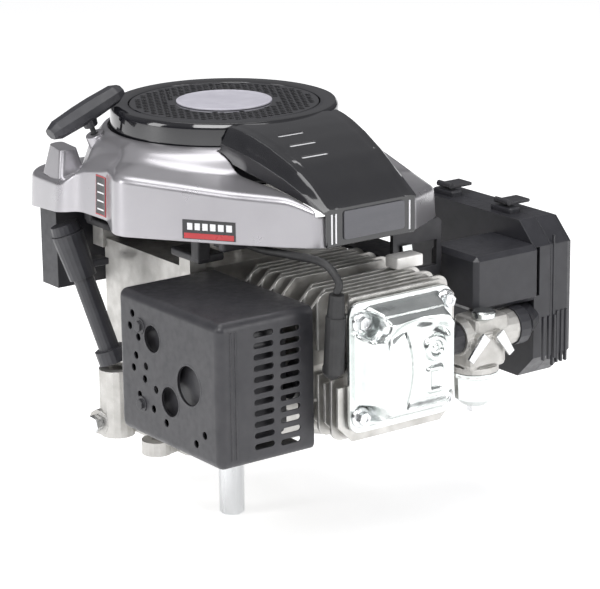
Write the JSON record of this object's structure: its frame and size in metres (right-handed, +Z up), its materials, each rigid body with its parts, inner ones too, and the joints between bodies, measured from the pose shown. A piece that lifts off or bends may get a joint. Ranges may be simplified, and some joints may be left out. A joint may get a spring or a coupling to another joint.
{
  "type": "small gasoline engine",
  "caption": "Vertical-shaft four-stroke engine with finned cylinder, recoil starter under a round grille, guarded muffler, carburettor and side air cleaner.",
  "frame": {"origin": "centre of the sump's mounting face, on the crankshaft's axis", "axes": "+Z up along the crankshaft, -Y towards the cylinder head, +X towards the air cleaner, -X towards the muffler"},
  "size_m": [0.379, 0.4175, 0.3838],
  "materials": {
    "cast_alloy": "sand-cast and machined aluminium, light grey",
    "bright_steel": "machined or plated steel",
    "zinc_plate": "bright zinc-plated pressed steel",
    "black_steel": "satin black heat-proof paint",
    "silver_paint": "silver-grey metallic paint, satin",
    "black_plastic": "black moulded plastic, semi-gloss",
    "gloss_plastic": "gloss black moulded plastic",
    "grey_plastic": "light grey matt plastic",
    "rubber": "black rubber",
    "cord": "braided black starter rope",
    "foam": "oiled foam filter element"
  },
  "bodies": {
    "engine": {"sump": "cast_alloy", "cylinder_block": "cast_alloy", "cylinder_head": "cast_alloy", "valve_cover": "zinc_plate", "valve_cover_bolt_1": "bright_steel", "valve_cover_bolt_2": "bright_steel", "valve_cover_bolt_3": "bright_steel", "valve_cover_bolt_4": "bright_steel", "spark_plug": "bright_steel", "ignition_lead": "rubber", "ignition_coil": "black_plastic", "exhaust_pipe": "black_steel", "muffler": "black_steel", "muffler_guard": "black_steel", "intake_manifold": "black_plastic", "carburetor_body": "cast_alloy", "float_bowl": "zinc_plate", "float_bowl_bolt": "bright_steel", "control_bracket": "black_steel", "air_cleaner_base": "black_plastic", "filter_element": "foam", "blower_housing": "silver_paint", "top_cover": "gloss_plastic", "grille_screen": "gloss_plastic", "badge_disc": "grey_plastic", "fuel_tank": "black_plastic", "fuel_hose": "rubber", "oil_filler_tube": "black_plastic", "oil_drain_bolt": "bright_steel", "recoil_housing": "black_steel", "starter_rope": "cord", "intake_spring": "bright_steel", "exhaust_spring": "bright_steel"},
    "crank": {"crankshaft": "bright_steel", "crank_gear": "bright_steel", "flywheel": "cast_alloy", "cooling_fan": "black_plastic", "starter_cup": "bright_steel", "flywheel_nut": "bright_steel"},
    "cam": {"camshaft": "bright_steel"},
    "piston_group": {"piston": "cast_alloy", "wrist_pin": "bright_steel", "connecting_rod": "cast_alloy"},
    "intake_pushrod_body": {"intake_pushrod": "bright_steel"},
    "exhaust_pushrod_body": {"exhaust_pushrod": "bright_steel"},
    "intake_rocker_body": {"intake_rocker": "bright_steel"},
    "exhaust_rocker_body": {"exhaust_rocker": "bright_steel"},
    "intake_valve_body": {"intake_valve": "bright_steel"},
    "exhaust_valve_body": {"exhaust_valve": "bright_steel"},
    "pulley": {"starter_pulley": "black_plastic"},
    "grip": {"pull_grip": "black_plastic"},
    "plug_cap_body": {"plug_cap": "rubber"},
    "throttle": {"throttle_lever": "bright_steel"},
    "choke": {"choke_lever": "bright_steel"},
    "governor": {"governor_arm": "zinc_plate"},
    "cleaner_cover": {"air_cleaner_cover": "black_plastic"},
    "clip_front": {"cleaner_clip_1": "black_steel"},
    "clip_back": {"cleaner_clip_2": "black_steel"},
    "fuel_cap_body": {"fuel_cap": "black_plastic"},
    "dipstick_body": {"dipstick": "black_plastic"}
  },
  "joints": [
    {"name": "crank_spin", "type": "hinge", "parent": "engine", "child": "crank", "pos_m": [0, 0, 0], "axis": [0, 0, 1], "continuous": true},
    {"name": "cam_spin", "type": "hinge", "parent": "engine", "child": "cam", "pos_m": [0.05125, -0.017, 0], "axis": [0, 0, 1], "continuous": true},
    {"name": "piston_slide", "type": "slide", "parent": "engine", "child": "piston_group", "axis": [0, -1, 0], "range_m": [0, 0.048]},
    {"name": "pull_start", "type": "slide", "parent": "engine", "child": "grip", "axis": [-0.38, 0, 0.925], "range_m": [0, 0.9], "deforming": ["starter_rope"]},
    {"name": "pulley_spin", "type": "hinge", "parent": "engine", "child": "pulley", "pos_m": [0, 0, 0.268], "axis": [0, 0, 1], "range_deg": [0, 1170]},
    {"name": "plug_cap_pull", "type": "slide", "parent": "engine", "child": "plug_cap_body", "axis": [-0.7844, -0.6202, 0], "range_m": [0, 0.03], "deforming": ["ignition_lead"]},
    {"name": "governor_swing", "type": "hinge", "parent": "engine", "child": "governor", "pos_m": [0.074, -0.151, 0.176], "axis": [0, 1, 0], "range_deg": [-12, 12]},
    {"name": "throttle_turn", "type": "hinge", "parent": "engine", "child": "throttle", "pos_m": [0.109, -0.2086, 0.105], "axis": [0, 1, 0], "range_deg": [-40, 40]},
    {"name": "choke_turn", "type": "hinge", "parent": "engine", "child": "choke", "pos_m": [0.129, -0.2086, 0.105], "axis": [0, 1, 0], "range_deg": [-75, 0]},
    {"name": "cleaner_cover_pull", "type": "slide", "parent": "engine", "child": "cleaner_cover", "axis": [1, 0, 0], "range_m": [0, 0.08]},
    {"name": "clip_front_swing", "type": "hinge", "parent": "engine", "child": "clip_front", "pos_m": [0.193, -0.134, 0.196], "axis": [0, 1, 0], "range_deg": [-100, 0]},
    {"name": "clip_back_swing", "type": "hinge", "parent": "engine", "child": "clip_back", "pos_m": [0.193, -0.057, 0.196], "axis": [0, 1, 0], "range_deg": [-100, 0]},
    {"name": "fuel_cap_lift", "type": "slide", "parent": "engine", "child": "fuel_cap_body", "axis": [0, 0, 1], "range_m": [0, 0.04]},
    {"name": "dipstick_turn", "type": "hinge", "parent": "engine", "child": "dipstick_body", "pos_m": [-0.118, 0.066, 0.178], "axis": [-0.2266, 0.2104, 0.951], "range_deg": [0, 540]},
    {"name": "intake_pushrod_lift", "type": "slide", "parent": "engine", "child": "intake_pushrod_body", "axis": [0, -1, 0], "range_m": [0, 0.006], "stiffness_N_per_m": 400},
    {"name": "intake_rocker_rock", "type": "hinge", "parent": "engine", "child": "intake_rocker_body", "pos_m": [0.023, -0.231, 0.137], "axis": [0, 0, 1], "range_deg": [-20, 0]},
    {"name": "intake_valve_lift", "type": "slide", "parent": "engine", "child": "intake_valve_body", "axis": [0, 1, 0], "range_m": [0, 0.0065], "deforming": ["intake_spring"]},
    {"name": "exhaust_pushrod_lift", "type": "slide", "parent": "engine", "child": "exhaust_pushrod_body", "axis": [0, -1, 0], "range_m": [0, 0.006], "stiffness_N_per_m": 400},
    {"name": "exhaust_rocker_rock", "type": "hinge", "parent": "engine", "child": "exhaust_rocker_body", "pos_m": [0.023, -0.231, 0.101], "axis": [0, 0, 1], "range_deg": [-20, 0]},
    {"name": "exhaust_valve_lift", "type": "slide", "parent": "engine", "child": "exhaust_valve_body", "axis": [0, 1, 0], "range_m": [0, 0.0065], "deforming": ["exhaust_spring"]}
  ],
  "couplings": [
    {"joint": "cam_spin", "follows": "crank_spin", "ratio": -0.5},
    {"joint": "pulley_spin", "follows": "pull_start", "rad_per_m": 22.222},
    {"joint": "throttle_turn", "follows": "governor_swing", "ratio": 3},
    {"joint": "intake_rocker_rock", "follows": "intake_pushrod_lift", "rad_per_m": -52.632},
    {"joint": "intake_valve_lift", "follows": "intake_pushrod_lift", "ratio": 1},
    {"joint": "exhaust_rocker_rock", "follows": "exhaust_pushrod_lift", "rad_per_m": -52.632},
    {"joint": "exhaust_valve_lift", "follows": "exhaust_pushrod_lift", "ratio": 1}
  ]
}
